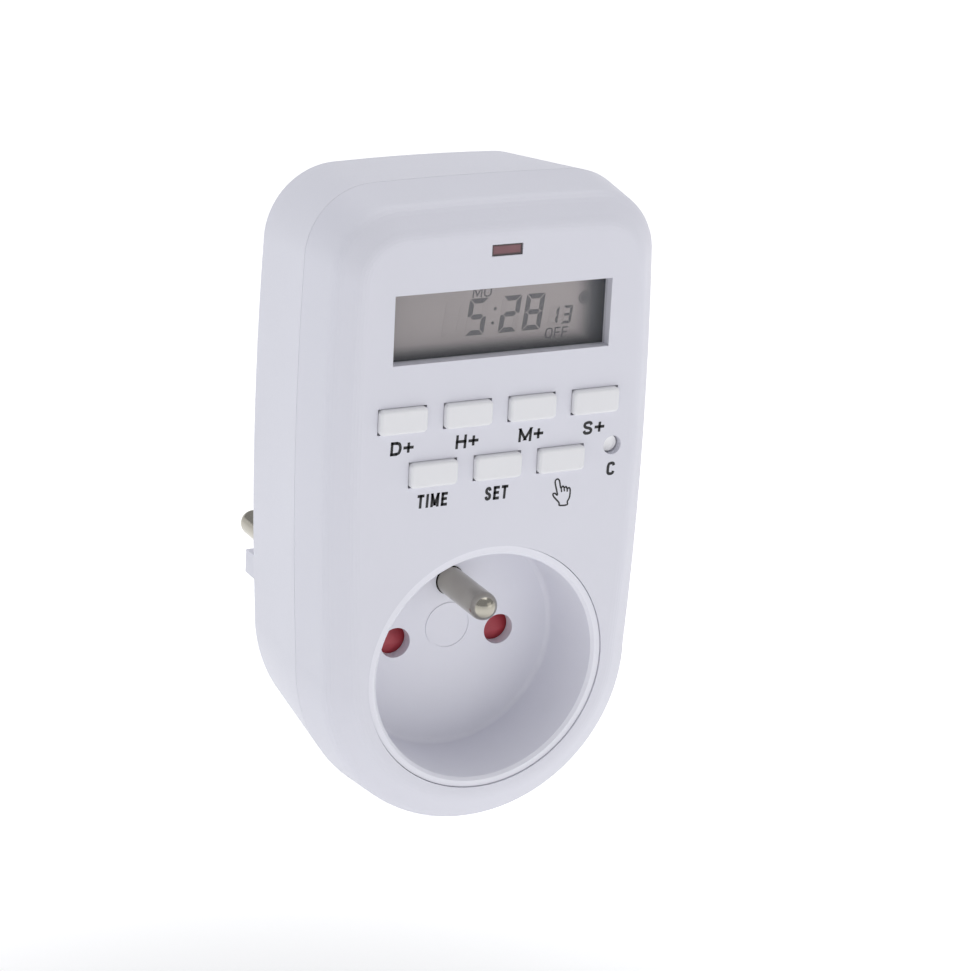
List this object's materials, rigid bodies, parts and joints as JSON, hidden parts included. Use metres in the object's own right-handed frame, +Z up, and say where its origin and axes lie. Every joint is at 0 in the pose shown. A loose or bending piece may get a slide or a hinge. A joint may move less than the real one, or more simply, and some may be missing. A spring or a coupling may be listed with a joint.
{
  "type": "plug-in timer switch",
  "caption": "Plug-in weekly timer switch: round-pin mains plug behind, earthed round socket in front, small display, seven keys and a sunk reset.",
  "frame": {"origin": "centre of the plug's engagement face, on the axis shared by plug and socket", "axes": "+Y out of the plug face along the pins, towards the wall socket; -Y is the front; +Z up; +X to the right seen from the front"},
  "size_m": [0.0588, 0.08, 0.1083],
  "materials": {
    "body": "fine satin moulded ABS",
    "well": "satin moulded polycarbonate",
    "key": "smooth satin ABS",
    "shutter": "satin moulded nylon",
    "carrier": "moulded nylon",
    "pin": "nickel-plated brass",
    "brass": "rolled brass strip",
    "spring": "drawn steel wire",
    "lens": "clear acrylic",
    "lcd": "liquid crystal cell",
    "led_red": "tinted acrylic",
    "silicone": "moulded silicone",
    "board": "solder mask on glass laminate",
    "black": "moulded epoxy",
    "blue": "moulded cap",
    "yellow": "taped film",
    "steel": "zinc-plated steel"
  },
  "bodies": {
    "housing": {"front_cover": "body", "rear_cover": "body", "socket_well": "well", "socket_floor": "well", "shutter_spring": "spring", "shutter_retainer": "carrier", "earth_pin": "pin", "line_contact": "brass", "neutral_contact": "brass", "line_plug_pin": "pin", "neutral_plug_pin": "pin", "pin_carrier": "carrier", "plug_earth_contact": "brass", "plug_earth_clips": "pin", "earth_link": "brass", "line_bar": "brass", "neutral_bar": "brass", "lcd_lens": "lens", "lcd_holder": "carrier", "lcd_glass": "lcd", "contact_strips": "silicone", "led_lens": "led_red", "led_lamp": "led_red", "key_mat": "silicone", "display_board": "board", "power_board": "board", "relay": "blue", "film_capacitor": "yellow", "smoothing_capacitor": "black", "storage_capacitor": "black", "varistor": "blue", "fuse": "black", "diodes": "black", "board_link": "black", "link_wires": "carrier", "button_cell": "steel", "cell_tabs": "steel", "controller": "black", "crystal": "steel", "case_screws": "steel", "board_screws": "steel", "power_screws": "steel", "retainer_screws": "steel"},
    "key_day_body": {"key_day": "key"},
    "key_hour_body": {"key_hour": "key"},
    "key_minute_body": {"key_minute": "key"},
    "key_second_body": {"key_second": "key"},
    "key_time_body": {"key_time": "key"},
    "key_set_body": {"key_set": "key"},
    "key_manual_body": {"key_manual": "key"},
    "reset_button_body": {"reset_button": "key"},
    "socket_shutter_body": {"socket_shutter": "shutter"}
  },
  "joints": [
    {"name": "key_day_press", "type": "slide", "parent": "housing", "child": "key_day_body", "axis": [0, 1, 0], "range_m": [0, 0.0007], "stiffness_N_per_m": 500, "deforming": ["key_mat"]},
    {"name": "key_hour_press", "type": "slide", "parent": "housing", "child": "key_hour_body", "axis": [0, 1, 0], "range_m": [0, 0.0007], "stiffness_N_per_m": 500},
    {"name": "key_minute_press", "type": "slide", "parent": "housing", "child": "key_minute_body", "axis": [0, 1, 0], "range_m": [0, 0.0007], "stiffness_N_per_m": 500},
    {"name": "key_second_press", "type": "slide", "parent": "housing", "child": "key_second_body", "axis": [0, 1, 0], "range_m": [0, 0.0007], "stiffness_N_per_m": 500},
    {"name": "key_time_press", "type": "slide", "parent": "housing", "child": "key_time_body", "axis": [0, 1, 0], "range_m": [0, 0.0007], "stiffness_N_per_m": 500},
    {"name": "key_set_press", "type": "slide", "parent": "housing", "child": "key_set_body", "axis": [0, 1, 0], "range_m": [0, 0.0007], "stiffness_N_per_m": 500},
    {"name": "key_manual_press", "type": "slide", "parent": "housing", "child": "key_manual_body", "axis": [0, 1, 0], "range_m": [0, 0.0007], "stiffness_N_per_m": 500},
    {"name": "reset_press", "type": "slide", "parent": "housing", "child": "reset_button_body", "axis": [0, 1, 0], "range_m": [0, 0.0007], "stiffness_N_per_m": 500},
    {"name": "shutter_slide", "type": "slide", "parent": "housing", "child": "socket_shutter_body", "axis": [0, 0, -1], "range_m": [0, 0.006], "stiffness_N_per_m": 120, "springref_m": -0.002, "deforming": ["shutter_spring"]}
  ]
}
